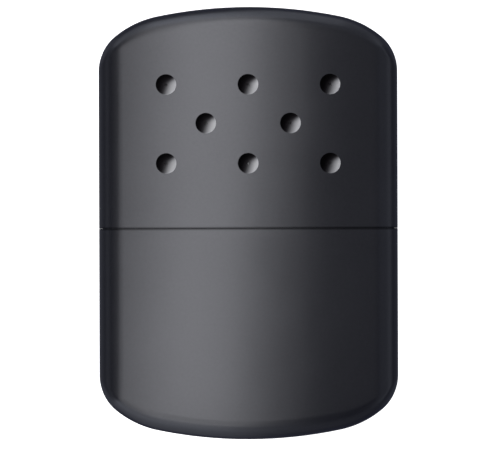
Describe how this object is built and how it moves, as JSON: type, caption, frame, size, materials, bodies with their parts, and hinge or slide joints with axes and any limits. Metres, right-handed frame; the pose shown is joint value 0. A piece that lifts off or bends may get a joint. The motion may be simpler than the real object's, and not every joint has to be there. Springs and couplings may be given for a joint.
{
  "type": "catalytic hand warmer",
  "caption": "Flat drawn-metal pocket warmer: a fuel tank packed with cotton, a slotted catalytic burner on an oval neck, and a pull-off vented lid.",
  "frame": {"origin": "middle of the back face, on which the warmer lies", "axes": "+Y along the length towards the lid's end, +Z from the back face to the front face, +X across"},
  "size_m": [0.0684, 0.099, 0.0134],
  "materials": {
    "case_paint": "satin charcoal, fine grain",
    "plain_steel": "bare, drawn",
    "heated_steel": "bare, tinted by heat",
    "cotton": "loose cotton",
    "glass_fibre": "grey glass fibre felt"
  },
  "bodies": {
    "tank": {"tank_shell": "case_paint", "tank_collar": "plain_steel", "filler_neck": "plain_steel", "cotton_wad_1": "cotton", "cotton_wad_2": "cotton", "cotton_wad_3": "cotton", "cotton_wad_4": "cotton", "cotton_wad_5": "cotton", "cotton_wad_6": "cotton", "cotton_wad_7": "cotton", "cotton_wad_8": "cotton", "cotton_wad_9": "cotton"},
    "lid": {"lid_shell": "case_paint"},
    "burner": {"burner_skirt": "plain_steel", "burner_floor": "heated_steel", "burner_cage": "heated_steel", "catalyst_support": "heated_steel", "catalyst_mat": "glass_fibre"}
  },
  "joints": [
    {"name": "lid_pull", "type": "slide", "parent": "tank", "child": "lid", "axis": [0, 1, 0], "range_m": [0, 0.035]},
    {"name": "burner_pull", "type": "slide", "parent": "tank", "child": "burner", "axis": [0, 1, 0], "range_m": [0, 0.01]}
  ]
}
